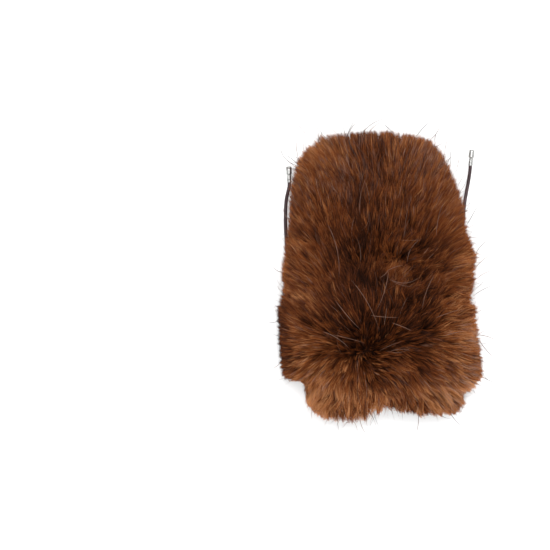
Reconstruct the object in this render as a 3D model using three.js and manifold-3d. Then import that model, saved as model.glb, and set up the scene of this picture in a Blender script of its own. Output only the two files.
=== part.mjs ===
// A long-haired fur mitten that lies palm down: a leather bag of a palm and a back panel, with its thumb
// folded flat under the palm, fur over the back of the hand, a deep fur cuff in two halves, and two
// drawcord ends with metal caps.
import * as THREE from "three";
import { mergeVertices } from "three/addons/utils/BufferGeometryUtils.js";
import Module from "manifold-3d";

const wasm = await Module();
wasm.setup();

// Driving dimensions, in millimetres. X runs across the hand, Y to the fingertips and Z up.
const leather = 2; // wall of the bag
const thumbLeather = 1.6; // wall of the thumb
const seat = 0.3; // gap between pieces that touch
const palm = 13; // height of the bag's underside, which lies on the thumb
const furStand = 8; // how far the locks stand out of the backing
const furLift = 2.5; // the hand's fur ends this high over the ground, the cuff's lies on it
const groundRow = -furStand; // under of a section whose backing reaches the ground
const wristY = -16; // where the drawcord gathers the bag
const partingY = -76; // the cuff's hair falls to both sides of this line
const folds = 14; // gathers round the wrist
const cordDiameter = 3.3;
const capDiameter = 5.4;
const sleeveDiameter = 4.1; // of the cap's narrow end, round the cord
const capLength = 14;
const waistShare = 0.42; // height of a section's widest points, as a share of its height
const bagSides = 28;
const furSides = 20;

// Sections of the leather bag from its mouth to its tip. left and right are its widest points, under and
// top its lowest and highest, and gather is the depth of the drawn folds.
const bagSections = [
  { y: -112, left: -66, right: 64, under: palm, top: 52, gather: 0 },
  { y: -88, left: -70, right: 68, under: palm, top: 54, gather: 0 },
  { y: -58, left: -68, right: 66, under: palm, top: 52, gather: 1 },
  { y: -34, left: -60, right: 58, under: palm, top: 46, gather: 3 },
  { y: wristY, left: -54, right: 52, under: palm, top: 40, gather: 5 },
  { y: 2, left: -58, right: 56, under: palm, top: 42, gather: 2 },
  { y: 28, left: -62, right: 61, under: palm, top: 45, gather: 0 },
  { y: 62, left: -61, right: 56, under: palm, top: 44, gather: 0 },
  { y: 86, left: -56, right: 48, under: palm, top: 40, gather: 0 },
  { y: 102, left: -46, right: 38, under: palm + 1, top: 35, gather: 0 },
  { y: 111, left: -32, right: 25, under: palm + 2, top: 30, gather: 0 },
  { y: 116, left: -15, right: 9, under: palm + 4, top: 25, gather: 0 },
];

// Outer form of the hand's fur, lock tips included.
const handFurSections = [
  { y: -22, left: -96, right: 88, under: groundRow, top: 68 },
  { y: 34, left: -90, right: 88, under: groundRow, top: 63 },
  { y: 66, left: -87, right: 80, under: groundRow, top: 61 },
  { y: 94, left: -83, right: 71, under: groundRow, top: 57 },
  { y: 112, left: -78, right: 62, under: groundRow, top: 51 },
  { y: 127, left: -64, right: 54, under: groundRow + 2, top: 44 },
  { y: 135, left: -50, right: 46, under: groundRow + 4, top: 38 },
  { y: 140, left: -32, right: 28, under: groundRow + 7, top: 32 },
];

// Outer form of the cuff's fur, lock tips included. Its underside lies flat on the ground.
const cuffFurSections = [
  { y: -22, left: -96, right: 88, under: groundRow - 2, top: 73 },
  { y: -42, left: -98, right: 92, under: groundRow - 2, top: 81 },
  { y: -68, left: -97, right: 95, under: groundRow - 2, top: 84 },
  { y: -90, left: -94, right: 98, under: groundRow - 2, top: 83 },
  { y: -106, left: -86, right: 88, under: groundRow - 2, top: 76 },
  { y: -117, left: -76, right: 78, under: groundRow - 2, top: 66 },
];

// The thumb, flat under the palm, from its root to its tip.
const thumbTop = palm - seat;
const thumbSections = [
  { y: -9, left: -40, right: -18, under: 2, top: thumbTop - 2, gather: 0 },
  { y: -4, left: -47, right: -11, under: 0, top: thumbTop, gather: 0 },
  { y: 10, left: -51, right: -9, under: 0, top: thumbTop, gather: 0 },
  { y: 34, left: -49, right: -13, under: 0, top: thumbTop, gather: 0 },
  { y: 50, left: -44, right: -18, under: 0.6, top: thumbTop - 0.6, gather: 0 },
  { y: 57, left: -38, right: -25, under: 2.4, top: thumbTop - 2.4, gather: 0 },
];
const thumbRoot = { x: -29, y: 11, acrossX: 28, acrossY: 24 }; // the hole between thumb and palm

// Locks of the cuff's lower edge: two full tufts with a cleft between them. reach is how far they pass
// the backing, along the glove.
const edgeLocks = [
  { x: -62, z: 24, reach: 10 },
  { x: -56, z: 42, reach: 14 },
  { x: -47, z: 56, reach: 18 },
  { x: -32, z: 62, reach: 19 },
  { x: -17, z: 66, reach: 19 },
  { x: -4, z: 68, reach: 13 },
  { x: 9, z: 68, reach: 6 },
  { x: 22, z: 67, reach: 10 },
  { x: 36, z: 63, reach: 13 },
  { x: 50, z: 57, reach: 13 },
  { x: 61, z: 46, reach: 12 },
  { x: 68, z: 30, reach: 10 },
  { x: 62, z: 9, reach: 9 },
  { x: 40, z: 7, reach: 12 },
  { x: 18, z: 7, reach: 10 },
  { x: -4, z: 7, reach: 13 },
  { x: -26, z: 7, reach: 15 },
  { x: -48, z: 8, reach: 13 },
];

// The drawcord's free ends: out of the bag at the wrist, down through the fur and along the ground.
const lying = cordDiameter / 2 + 0.05;
const atCap = capDiameter / 2 + 0.05; // the lying cap lifts the cord's end to its own middle
const nearCap = (lying + atCap) / 2;
const cordRoutes = {
  left: [
    [-54.6, wristY, 25],
    [-59, -15.8, 25],
    [-65, -14, 24],
    [-71, -10, 21],
    [-76.5, -4, 16.5],
    [-81.5, 4, 11],
    [-85.5, 12.5, 6],
    [-87.8, 21, 3],
    [-88.7, 30, lying],
    [-89.2, 39, lying],
    [-89.7, 48, lying],
    [-89.8, 57, lying],
    [-89.6, 66, lying],
    [-88.9, 75, lying],
    [-87.3, 82.5, lying],
    [-86.1, 88.3, nearCap],
    [-86.2, 92.2, atCap],
  ],
  right: [
    [52.6, wristY, 25],
    [57, -15.8, 25],
    [62, -14, 24],
    [66.5, -10, 21],
    [70.5, -4, 16.5],
    [74, 4, 11],
    [76.5, 12.5, 6],
    [78, 21, 3],
    [78.7, 30, lying],
    [79, 39, lying],
    [79.3, 48, lying],
    [79.9, 57, lying],
    [80.6, 66, lying],
    [81.7, 75, lying],
    [83.3, 84, lying],
    [84.8, 92, lying],
    [86, 100, nearCap],
    [86.8, 108.2, atCap],
  ],
};

// A solid from closed geometry, with its faces turned outwards
function solidOf(geometry) {
  const bare = geometry.clone();
  for (const name of Object.keys(bare.attributes)) if (name !== "position") bare.deleteAttribute(name);
  const merged = mergeVertices(bare, 1e-4);
  const index = new Uint32Array(merged.index.array);
  const build = () =>
    new wasm.Manifold(
      new wasm.Mesh({
        numProp: 3,
        vertProperties: new Float32Array(merged.attributes.position.array),
        triVerts: index,
      }),
    );
  const solid = build();
  if (solid.volume() > 0) return solid;
  for (let i = 0; i < index.length; i += 3) [index[i + 1], index[i + 2]] = [index[i + 2], index[i + 1]];
  return build();
}

function geometryOf(solid) {
  const mesh = solid.getMesh();
  const geometry = new THREE.BufferGeometry();
  geometry.setAttribute("position", new THREE.BufferAttribute(mesh.vertProperties.slice(), 3));
  geometry.setIndex(new THREE.BufferAttribute(mesh.triVerts.slice(), 1));
  geometry.computeVertexNormals();
  return geometry;
}

function joined(solids) {
  return solids.reduce((sum, solid) => sum.add(solid));
}

// The largest body, without the slivers that a cut leaves
function mainBody(solid) {
  return solid.decompose().reduce((best, body) => (body.volume() > best.volume() ? body : best));
}

function block(low, high) {
  const size = new THREE.Vector3().subVectors(high, low);
  const middle = new THREE.Vector3().addVectors(low, high).multiplyScalar(0.5);
  return solidOf(new THREE.BoxGeometry(size.x, size.y, size.z).translate(middle.x, middle.y, middle.z));
}

// Height of a section's widest points, where the side seams run
function waistOf(row, inset) {
  return row.under + inset + (row.top - row.under - 2 * inset) * waistShare;
}

// A point of a section, at an angle from its right side over its top. inset moves it inwards.
function pointOn(row, angle, inset, lowerPower = 3.6, upperPower = 2.3) {
  const middle = (row.left + row.right) / 2;
  const half = (row.right - row.left) / 2 - inset;
  const low = row.under + inset;
  const high = row.top - inset;
  const waist = waistOf(row, inset);
  const up = Math.sin(angle) > 0;
  const power = 2 / (up ? upperPower : lowerPower);
  const across = Math.sign(Math.cos(angle)) * Math.abs(Math.cos(angle)) ** power;
  const height = Math.sign(Math.sin(angle)) * Math.abs(Math.sin(angle)) ** power;
  const drawn = 1 - ((row.gather ?? 0) * (1 + Math.cos(folds * angle))) / 2 / half;
  return new THREE.Vector3(
    middle + half * across * drawn,
    row.y,
    waist + (up ? high - waist : waist - low) * height * drawn,
  );
}

// A closed solid through sections that run along Y, with a flat face at each end
function loft(rows, sides, inset, lowerPower, upperPower) {
  const positions = [];
  const faces = [];
  rows.forEach((row) => {
    for (let i = 0; i < sides; i++) {
      const angle = ((i + 0.5) / sides) * 2 * Math.PI;
      positions.push(...pointOn(row, angle, inset, lowerPower, upperPower).toArray());
    }
  });
  for (let r = 0; r + 1 < rows.length; r++)
    for (let i = 0; i < sides; i++) {
      const next = (i + 1) % sides;
      const a = r * sides + i;
      const b = r * sides + next;
      const c = (r + 1) * sides + next;
      const d = (r + 1) * sides + i;
      faces.push(a, d, c, a, c, b);
    }
  for (const r of [0, rows.length - 1]) {
    const row = rows[r];
    const hub = positions.length / 3;
    positions.push((row.left + row.right) / 2, row.y, (row.under + row.top) / 2);
    for (let i = 0; i < sides; i++) {
      const edge = [r * sides + i, r * sides + ((i + 1) % sides)];
      if (r > 0) edge.reverse();
      faces.push(hub, ...edge);
    }
  }
  const geometry = new THREE.BufferGeometry();
  geometry.setAttribute("position", new THREE.Float32BufferAttribute(positions, 3));
  geometry.setIndex(faces);
  return solidOf(geometry);
}

// The section at any Y, between the two rows round it
function sectionAt(rows, y) {
  const next = Math.max(1, rows.findIndex((row, i) => i > 0 && (row.y - y) * (rows[0].y - y) <= 0));
  const [a, b] = [rows[next - 1], rows[next]];
  const share = (y - a.y) / (b.y - a.y);
  const between = (name) => a[name] + (b[name] - a[name]) * share;
  return { y, left: between("left"), right: between("right"), under: between("under"), top: between("top") };
}

function alongTube(points, diameter, sides, steps) {
  const outline = new THREE.Shape();
  for (let i = 0; i < sides; i++) {
    const angle = ((i + 0.5) / sides) * 2 * Math.PI;
    const corner = [(diameter / 2) * Math.cos(angle), (diameter / 2) * Math.sin(angle)];
    if (i === 0) outline.moveTo(...corner);
    else outline.lineTo(...corner);
  }
  outline.closePath();
  const path = new THREE.CatmullRomCurve3(points.map((p) => new THREE.Vector3(...p)));
  return new THREE.ExtrudeGeometry(outline, { steps, extrudePath: path });
}

// One lock of hair: a flattened, arched cone from under the backing's skin to its tip
function lock(root, forward, out, length, width, thickness) {
  const side = new THREE.Vector3().crossVectors(forward, out).normalize();
  const up = new THREE.Vector3().crossVectors(side, forward).normalize();
  const sink = thickness * 0.45;
  const fullness = (t) => (t > 0.4 && t < 0.9 ? 1.75 : 1); // keeps the lock wide past its middle
  const cone = new THREE.ConeGeometry(0.5, 1, 4, 2);
  const at = cone.attributes.position;
  for (let i = 0; i < at.count; i++) {
    const t = at.getY(i) + 0.5;
    const point = root.clone();
    point.addScaledVector(forward, t * length - 2);
    point.addScaledVector(side, at.getX(i) * width * fullness(t));
    point.addScaledVector(up, at.getZ(i) * thickness * fullness(t) - sink * (1 - t));
    at.setXYZ(i, point.x, point.y, point.z);
  }
  return solidOf(cone);
}

// Locks in rows over a backing, from one side's foot over the top to the other's
function locksOver(rows, stations, columns, flow, arc) {
  const made = [];
  stations.forEach((y, r) => {
    for (let c = 0; c < columns; c++) {
      const share = (c + (r % 2 ? 0.25 : 0.75)) / columns;
      const angle = arc.from + (arc.to - arc.from) * share;
      const here = (dy, turn) => pointOn(sectionAt(rows, y + dy), angle + turn, furStand);
      const root = here(0, 0);
      const alongY = here(1, 0).sub(here(-1, 0));
      const round = here(0, 0.02).sub(here(0, -0.02));
      const out = new THREE.Vector3().crossVectors(alongY, round).normalize();
      const middle = (rows[0].left + rows[0].right) / 2;
      if (out.x * (root.x - middle) + out.z * (root.z - 20) < 0) out.negate();
      const forward = flow(root, out).addScaledVector(out, 0.24).normalize();
      const length = THREE.MathUtils.clamp(furStand / Math.max(0.2, forward.dot(out)), 14, 40);
      const uneven = 1 + 0.12 * Math.sin(7.3 * c + 4.1 * r);
      made.push(lock(root, forward, out, length * uneven, 22 * uneven, 8));
    }
  });
  return made;
}

// All that lies under the side seams, which run along the bag at its widest points
function underSeams(gap) {
  const side = new THREE.Shape();
  const first = bagSections[0];
  const last = bagSections.at(-1);
  side.moveTo(first.y - 80, waistOf(first, 0) - gap);
  for (const row of bagSections) side.lineTo(row.y, waistOf(row, 0) - gap);
  side.lineTo(last.y + 80, waistOf(last, 0) - gap);
  side.lineTo(last.y + 80, -80);
  side.lineTo(first.y - 80, -80);
  side.closePath();
  return acrossX(side);
}

function leatherBag() {
  const outer = loft(bagSections, bagSides, 0);
  const mouth = { ...bagSections[0], y: bagSections[0].y - 4 };
  const inner = [mouth, ...bagSections.slice(0, -1).map((row) => ({ ...row }))];
  const tip = inner.at(-1);
  tip.y += 1.5;
  return outer.subtract(loft(inner, bagSides, leather)).subtract(thumbHole());
}

// The upright oval hole that joins the thumb's inside to the hand's
function thumbHole() {
  const oval = new THREE.CylinderGeometry(0.5, 0.5, 12, 20);
  oval.rotateX(Math.PI / 2);
  oval.scale(thumbRoot.acrossX, thumbRoot.acrossY, 1);
  oval.translate(thumbRoot.x, thumbRoot.y, palm);
  return solidOf(oval);
}

function thumbStall() {
  const outer = loft(thumbSections, 20, 0, 3, 5);
  const inner = thumbSections.map((row) => ({ ...row }));
  inner[0].y += thumbLeather;
  inner.at(-1).y -= thumbLeather;
  return outer.subtract(loft(inner, 20, thumbLeather, 3, 5)).subtract(thumbHole());
}

// The bag with its seat gap, run on past both ends and down to the ground where open is true
function bagRoom(open) {
  const rows = bagSections.map((row) => ({ ...row, gather: 0 }));
  rows.unshift({ ...rows[0], y: rows[0].y - 30 });
  const room = loft(rows, bagSides, -seat);
  if (!open) return room;
  const under = rows.map((row) => ({ ...row, under: -20 }));
  return joined([room, loft(under, bagSides, -seat, 12)]);
}

function cordRoom() {
  const tubes = Object.values(cordRoutes).map((route) => solidOf(alongTube(route, cordDiameter + 2.2, 8, 18)));
  return joined(tubes);
}

// A solid of a shape seen from the side, drawn in Y and Z, right across the mitten
function acrossX(side) {
  const slab = new THREE.ExtrudeGeometry(side, { depth: 300, bevelEnabled: false });
  slab.applyMatrix4(
    new THREE.Matrix4().makeBasis(
      new THREE.Vector3(0, 1, 0),
      new THREE.Vector3(0, 0, 1),
      new THREE.Vector3(1, 0, 0),
    ),
  );
  slab.translate(-150, 0, 0);
  return solidOf(slab);
}

// The hand's fur and the cuff's meet on a slope, so that the cuff's long hair leans over the wrist
function wristWedge(gap) {
  const side = new THREE.Shape();
  side.moveTo(-34 - gap, -10);
  side.lineTo(4 - gap, 100);
  side.lineTo(-200, 100);
  side.lineTo(-200, -10);
  side.closePath();
  return acrossX(side);
}

function handFur() {
  const rows = [{ ...handFurSections[0], y: -60 }, ...handFurSections];
  const backing = rows.map((row) => ({ ...row, y: row.y > 100 ? row.y - furStand : row.y }));
  const flow = (root) => new THREE.Vector3(root.x / 190, 1, 0);
  const stations = [-26, -4, 18, 40, 62, 84, 103];
  const arc = { from: -0.35, to: Math.PI + 0.35 };
  const locks = locksOver(rows, stations, 9, flow, arc);
  const tipLocks = locksOver(backing, [122], 8, flow, arc);
  const fur = joined([loft(backing, furSides, furStand, 3.6, 2.3), ...locks, ...tipLocks]);
  const ground = block(new THREE.Vector3(-200, -200, -40), new THREE.Vector3(200, 200, furLift));
  return mainBody(fur.subtract(ground).subtract(bagRoom(true)).subtract(cordRoom()).subtract(wristWedge(0)));
}

function cuffFur() {
  const rows = [{ ...cuffFurSections[0], y: 10 }, ...cuffFurSections];
  const flow = (root) => {
    const fall = THREE.MathUtils.clamp((root.y - partingY) / 26, -1, 1);
    return new THREE.Vector3(root.x / 90, fall, 0);
  };
  const arc = { from: -0.5, to: Math.PI + 0.5 };
  const locks = locksOver(rows, [-24, -41, -58, -75, -92, -106], 11, flow, arc);
  const edge = edgeLocks.map(({ x, z, reach }) => {
    const root = new THREE.Vector3(x, -112, z);
    const forward = new THREE.Vector3(x / 260, -1, z > 40 ? 0.05 : 0).normalize();
    return lock(root, forward, new THREE.Vector3(0, 0, 1), reach + 5, 19, 11);
  });
  const fur = joined([loft(rows, furSides, furStand, 5, 2.3), ...locks, ...edge]);
  const ground = block(new THREE.Vector3(-200, -200, -40), new THREE.Vector3(200, 200, 0));
  const kept = fur.subtract(ground).subtract(bagRoom(false)).subtract(cordRoom());
  return kept.intersect(wristWedge(seat * 2));
}

// A crimped cord end: a narrow sleeve round the cord, a neck and a wider bell with a rounded end
function cordCap(route) {
  const end = new THREE.Vector3(...route.at(-1));
  const along = end.clone().sub(new THREE.Vector3(...route.at(-2))).setZ(0).normalize();
  const r = capDiameter / 2;
  const sleeve = sleeveDiameter / 2;
  const neck = 5.6; // from the cap's open end
  const outline = [
    [0, 0],
    [sleeve - 0.2, 0],
    [sleeve, 0.4],
    [sleeve, neck - 0.3],
    [sleeve - 0.4, neck],
    [r - 0.4, neck + 0.6],
    [r, neck + 1.4],
    [r, capLength - 1.6],
    [r * 0.7, capLength - 0.3],
    [0, capLength],
  ].map((p) => new THREE.Vector2(...p));
  const cap = new THREE.LatheGeometry(outline, 12);
  cap.applyQuaternion(new THREE.Quaternion().setFromUnitVectors(new THREE.Vector3(0, 1, 0), along));
  const start = end.clone().addScaledVector(along, seat);
  cap.translate(start.x, start.y, atCap);
  return solidOf(cap);
}

const finishes = {
  fur: { color: 0x7a4420, roughness: 0.85, metalness: 0 },
  leather: { color: 0x3a2318, roughness: 0.7, metalness: 0 },
  cord: { color: 0x22150f, roughness: 0.5, metalness: 0 },
  metal: { color: 0xc9c9c6, roughness: 0.25, metalness: 1 },
};

function piece(name, solid, finish) {
  const mesh = new THREE.Mesh(geometryOf(solid), new THREE.MeshStandardMaterial(finishes[finish]));
  mesh.name = name;
  return mesh;
}

// The half of a hollow piece above its side seams, and the half below them
function backHalf(whole) {
  return mainBody(whole.subtract(underSeams(0)));
}

function palmHalf(whole) {
  return mainBody(whole.intersect(underSeams(seat)));
}

const bag = leatherBag();
const cuff = cuffFur();

const glove = new THREE.Group();
glove.add(piece("back_panel", backHalf(bag), "leather"));
glove.add(piece("palm_panel", palmHalf(bag), "leather"));
glove.add(piece("thumb_stall", thumbStall(), "leather"));
glove.add(piece("hand_fur", handFur(), "fur"));
glove.add(piece("cuff_fur_back", backHalf(cuff), "fur"));
glove.add(piece("cuff_fur_palm", palmHalf(cuff), "fur"));

// The origin is under the middle of the mitten itself, on the ground
const around = new THREE.Box3().setFromObject(glove);
const middle = around.getCenter(new THREE.Vector3());

for (const [name, route] of Object.entries(cordRoutes)) {
  glove.add(piece("cord_" + name, solidOf(alongTube(route, cordDiameter, 8, 18)), "cord"));
  glove.add(piece("cord_cap_" + name, cordCap(route), "metal"));
}
glove.position.set(-middle.x, -middle.y, -around.min.z);

export default glove;
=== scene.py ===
import math

import bmesh
import bpy
import numpy as np
from mathutils import Matrix, Vector, kdtree


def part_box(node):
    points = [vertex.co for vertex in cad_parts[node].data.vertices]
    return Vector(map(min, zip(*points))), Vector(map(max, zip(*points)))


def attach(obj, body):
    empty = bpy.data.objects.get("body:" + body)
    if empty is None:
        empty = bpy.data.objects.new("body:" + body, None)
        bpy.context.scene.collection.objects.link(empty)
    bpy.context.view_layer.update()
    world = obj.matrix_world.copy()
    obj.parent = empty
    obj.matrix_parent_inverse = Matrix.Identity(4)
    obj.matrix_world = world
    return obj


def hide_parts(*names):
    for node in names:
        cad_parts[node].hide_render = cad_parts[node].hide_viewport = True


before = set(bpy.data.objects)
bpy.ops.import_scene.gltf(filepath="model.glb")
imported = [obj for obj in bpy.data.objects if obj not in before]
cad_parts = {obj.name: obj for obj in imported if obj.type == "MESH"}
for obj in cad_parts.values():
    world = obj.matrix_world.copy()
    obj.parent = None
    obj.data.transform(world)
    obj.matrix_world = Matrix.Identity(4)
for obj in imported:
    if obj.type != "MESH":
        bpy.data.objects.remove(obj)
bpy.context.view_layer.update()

mm = 0.001
print("stage: frame loaded")

# All tables below are in mm, counted from a point in the middle of the mitten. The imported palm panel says
# where that point lies in the frame.
palmPanel = {"left": -69.76, "tip": 116}
panelLow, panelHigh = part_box("palm_panel")
shift = np.array([panelLow.x - palmPanel["left"] * mm, panelHigh.y - palmPanel["tip"] * mm, 0.0])


def placed(points):
    return np.asarray(points, float) * mm + shift


# Camera, straight above. The photograph's frame is 522.5 mm wide, with the mitten right of its middle.
view = {"across": 522.5, "aim": (-99.75, 2.85), "height": 4000, "level": 20, "sensor": 36}


def makeCamera():
    aim = placed([*view["aim"], 0])
    lens = bpy.data.cameras.new("camera")
    lens.sensor_width = view["sensor"]
    lens.lens = view["sensor"] * (view["height"] - view["level"]) / view["across"]
    lens.clip_end = 20
    camera = bpy.data.objects.new("camera", lens)
    camera.location = (aim[0], aim[1], view["height"] * mm)
    bpy.context.collection.objects.link(camera)
    bpy.context.scene.camera = camera


makeCamera()


# Helpers shared by the pieces
def newPiece(name, data, material):
    thing = bpy.data.objects.new(name, data)
    bpy.context.collection.objects.link(thing)
    data.materials.append(material)
    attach(thing, "root")
    return thing


def fromBmesh(name, bm, material):
    mesh = bpy.data.meshes.new(name)
    bm.to_mesh(mesh)
    bm.free()
    mesh.shade_smooth()
    return newPiece(name, mesh, material)


def newMaterial(name, roughness=0.5, sheen=0.5):
    made = bpy.data.materials.new(name)
    made.use_nodes = True
    tree = made.node_tree
    shader = tree.nodes["Principled BSDF"]
    shader.inputs["Roughness"].default_value = roughness
    shader.inputs["Specular IOR Level"].default_value = sheen
    return made, tree, shader


def objectPlace(tree):
    return tree.nodes.new("ShaderNodeTexCoord").outputs["Object"]


def ramp(tree, stops, source):
    node = tree.nodes.new("ShaderNodeValToRGB")
    points = node.color_ramp.elements
    while len(points) < len(stops):
        points.new(0.5)
    for point, (at, colour) in zip(points, stops):
        point.position = at
        point.color = (*colour, 1)
    tree.links.new(source, node.inputs[0])
    return node.outputs["Color"]


def noise(tree, place, scale, detail=3.0, roughness=0.5):
    node = tree.nodes.new("ShaderNodeTexNoise")
    node.inputs["Scale"].default_value = scale
    node.inputs["Detail"].default_value = detail
    node.inputs["Roughness"].default_value = roughness
    tree.links.new(place, node.inputs["Vector"])
    return node.outputs["Fac"]


def between(tree, source, low, high):
    node = tree.nodes.new("ShaderNodeMapRange")
    node.inputs["To Min"].default_value = low
    node.inputs["To Max"].default_value = high
    tree.links.new(source, node.inputs["Value"])
    return node.outputs[0]


def mixColour(tree, share, first, second):
    node = tree.nodes.new("ShaderNodeMix")
    node.data_type = "RGBA"
    for socket, value in ((node.inputs[0], share), (node.inputs[6], first), (node.inputs[7], second)):
        tree.links.new(value, socket)
    return node.outputs[2]


def bump(tree, shader, height, distance):
    node = tree.nodes.new("ShaderNodeBump")
    node.inputs["Distance"].default_value = distance
    tree.links.new(height, node.inputs["Height"])
    tree.links.new(node.outputs[0], shader.inputs["Normal"])


# The drawcord's free ends. Each route repeats the CAD source's points, from the wrist to the metal cap.
cordEnds = {
    "diameter": 3.3,
    "left": [(-54.6, -16, 25), (-59, -15.8, 25), (-65, -14, 24), (-71, -10, 21), (-76.5, -4, 16.5),
             (-81.5, 4, 11), (-85.5, 12.5, 6), (-87.8, 21, 3), (-88.7, 30, 1.7), (-89.2, 39, 1.7),
             (-89.7, 48, 1.7), (-89.8, 57, 1.7), (-89.6, 66, 1.7), (-88.9, 75, 1.7),
             (-87.3, 82.5, 1.7), (-86.1, 88.3, 2.225), (-86.2, 92.2, 2.75)],
    "right": [(52.6, -16, 25), (57, -15.8, 25), (62, -14, 24), (66.5, -10, 21), (70.5, -4, 16.5),
              (74, 4, 11), (76.5, 12.5, 6), (78, 21, 3), (78.7, 30, 1.7), (79, 39, 1.7),
              (79.3, 48, 1.7), (79.9, 57, 1.7), (80.6, 66, 1.7), (81.7, 75, 1.7), (83.3, 84, 1.7),
              (84.8, 92, 1.7), (86, 100, 2.225), (86.8, 108.2, 2.75)],
    "dark": (0.04, 0.02, 0.022),
    "scuffed": (0.12, 0.075, 0.08),
}
metalCap = {
    # its outline, as distances along it from the cord's end and radii: a crimped sleeve, a neck, a domed bell
    "outline": [(-1.2, 1.72), (-1.2, 1.95), (-0.8, 2.08), (0.9, 2.08), (1.2, 1.88), (1.6, 1.88), (1.9, 2.08),
                (3.4, 2.08), (3.7, 1.88), (4.1, 1.88), (4.4, 2.08), (5.4, 2.08), (5.8, 1.6), (6.2, 1.6),
                (6.5, 2.3), (7.1, 2.62), (7.6, 2.7), (13.0, 2.7), (13.7, 2.55), (14.1, 2.1), (14.2, 1.4),
                (13.9, 1.1), (13.9, 0)],
    "steps": 48,
    "bright": (0.6, 0.6, 0.585),
    "dull": (0.36, 0.36, 0.35),
}


def cordMaterial():
    made, tree, shader = newMaterial("cordLeather", sheen=0.32)
    place = objectPlace(tree)
    grain = noise(tree, place, 1100, 4, 0.6)
    wear = noise(tree, place, 140, 3)
    colour = ramp(tree, [(0.4, cordEnds["dark"]), (0.75, cordEnds["scuffed"])], wear)
    tree.links.new(colour, shader.inputs["Base Color"])
    tree.links.new(between(tree, grain, 0.36, 0.52), shader.inputs["Roughness"])
    bump(tree, shader, grain, 0.0001)
    return made


def metalMaterial():
    made, tree, shader = newMaterial("capMetal")
    shader.inputs["Metallic"].default_value = 1.0
    smear = noise(tree, objectPlace(tree), 420, 4)
    colour = ramp(tree, [(0.35, metalCap["dull"]), (0.65, metalCap["bright"])], smear)
    tree.links.new(colour, shader.inputs["Base Color"])
    tree.links.new(between(tree, smear, 0.3, 0.5), shader.inputs["Roughness"])
    return made


def makeCap(name, start, along, material):
    # spun from its outline round Z, then laid down along the cord
    bm = bmesh.new()
    corners = [bm.verts.new((radius * mm, 0, at * mm)) for at, radius in metalCap["outline"]]
    edges = [bm.edges.new(pair) for pair in zip(corners, corners[1:])]
    bmesh.ops.spin(bm, geom=corners + edges, cent=(0, 0, 0), axis=(0, 0, 1), angle=2 * math.pi,
                   steps=metalCap["steps"], use_merge=True, use_duplicate=False)
    bmesh.ops.remove_doubles(bm, verts=bm.verts, dist=1e-6)
    rim = [edge for edge in bm.edges if edge.is_boundary]
    bmesh.ops.contextual_create(bm, geom=rim)
    bmesh.ops.recalc_face_normals(bm, faces=bm.faces)
    turn = Vector((0, 0, 1)).rotation_difference(along).to_matrix().to_4x4()
    bmesh.ops.transform(bm, matrix=Matrix.Translation(start) @ turn, verts=bm.verts)
    return fromBmesh(name, bm, material)


def makeCords():
    leather, metal = cordMaterial(), metalMaterial()
    for side in ("left", "right"):
        route = placed(cordEnds[side])
        line = bpy.data.curves.new("drawcord_" + side, "CURVE")
        line.dimensions = "3D"
        line.bevel_depth = cordEnds["diameter"] / 2 * mm
        line.bevel_resolution = 4
        line.resolution_u = 6
        line.use_fill_caps = True
        spline = line.splines.new("BEZIER")
        spline.bezier_points.add(len(route) - 1)
        for point, at in zip(spline.bezier_points, route):
            point.co = at
            point.handle_left_type = point.handle_right_type = "AUTO"
        cord = newPiece("drawcord_" + side, line, leather)
        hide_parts("cord_" + side)
        end = Vector(route[-1])
        along = end - Vector(route[-2])
        along.z = 0
        cap = makeCap("cord_end_cap_" + side, end, along.normalized(), metal)
        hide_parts("cord_cap_" + side)


makeCords()
print("stage: camera and cords")


# Forms that run along Y: a row for each section, with its widest points, lowest and highest
waistShare = 0.42  # every section is widest at this part of its height


def unit(v):
    return v / np.maximum(np.linalg.norm(v, axis=-1, keepdims=True), 1e-9)


def rowAt(table, y):
    rows = np.array(sorted(table), float)
    return [np.interp(y, rows[:, 0], rows[:, k]) for k in range(1, rows.shape[1])]


def onSection(left, right, under, top, angle, lowerPower, upperPower):
    # x and z at an angle counted from the right side over the top
    waist = under + (top - under) * waistShare
    up = np.sin(angle) > 0
    power = np.where(up, 2 / upperPower, 2 / lowerPower)
    c, s = np.cos(angle), np.sin(angle)
    x = (left + right) / 2 + (right - left) / 2 * np.sign(c) * np.abs(c) ** power
    z = waist + np.where(up, top - waist, waist - under) * np.sign(s) * np.abs(s) ** power
    return x, z


# The hide that the hair grows from. Its hair stands a few mm further out, where the CAD's fur ends.
fur = {
    "seed": 7,
    "handStrands": 76000,
    "cuffStrands": 72000,
    "rimStrands": 24000,
    "handSpan": (-0.6, math.pi + 0.6),  # the part of the way round that has hair, counted from the right side
    "cuffSpan": (-0.7, math.pi + 0.7),
    "rimSpan": (0.0, 2 * math.pi),
    "rimDepth": 15,
    "length": 28.0,
    "lengthVaries": (0.14, 0.6, 1.35),  # the deviation, the least and the most
    "longerHanging": 0.35,
    "longerTips": 0.2,
    "width": 0.44,
    "widthVaries": (0.22, 0.5, 1.6),
    "ground": 0.3,
    "groundVaries": 0.3,
    "rise": (0.95, 0.5),  # how steeply hair stands at its root and at its tip, in radians
    "riseVaries": (0.15, 0.22),
    "drop": (-0.16, 0.22),  # how far tufts point down, and how that varies
    "dropLow": 0.7,  # and near the ground
    "standing": (0.5, 1.1),  # how much steeper hair stands where the combing's arrows are short
    "bend": 0.42,
    "followHide": 0.8,
    "wander": 0.16,  # how far a coarse tuft turns from the combing, in radians
    "strandWander": 0.15,
    "coarseTuft": 9.0,  # three sizes of tuft, each with how firmly it draws its hair together
    "coarsePull": 0.24,
    "calmPull": 0.1,
    "lock": 4.5,
    "lockPull": 0.1,
    "hangingPull": 0.36,
    "fineTuft": 1.9,
    "finePull": 0.62,
    "edgePull": 0.14,
    "bow": 0.7,
    "hangingBow": 1.5,
    "seenAt": 0.65,  # the place along a strand that its tone is read for
}
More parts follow.
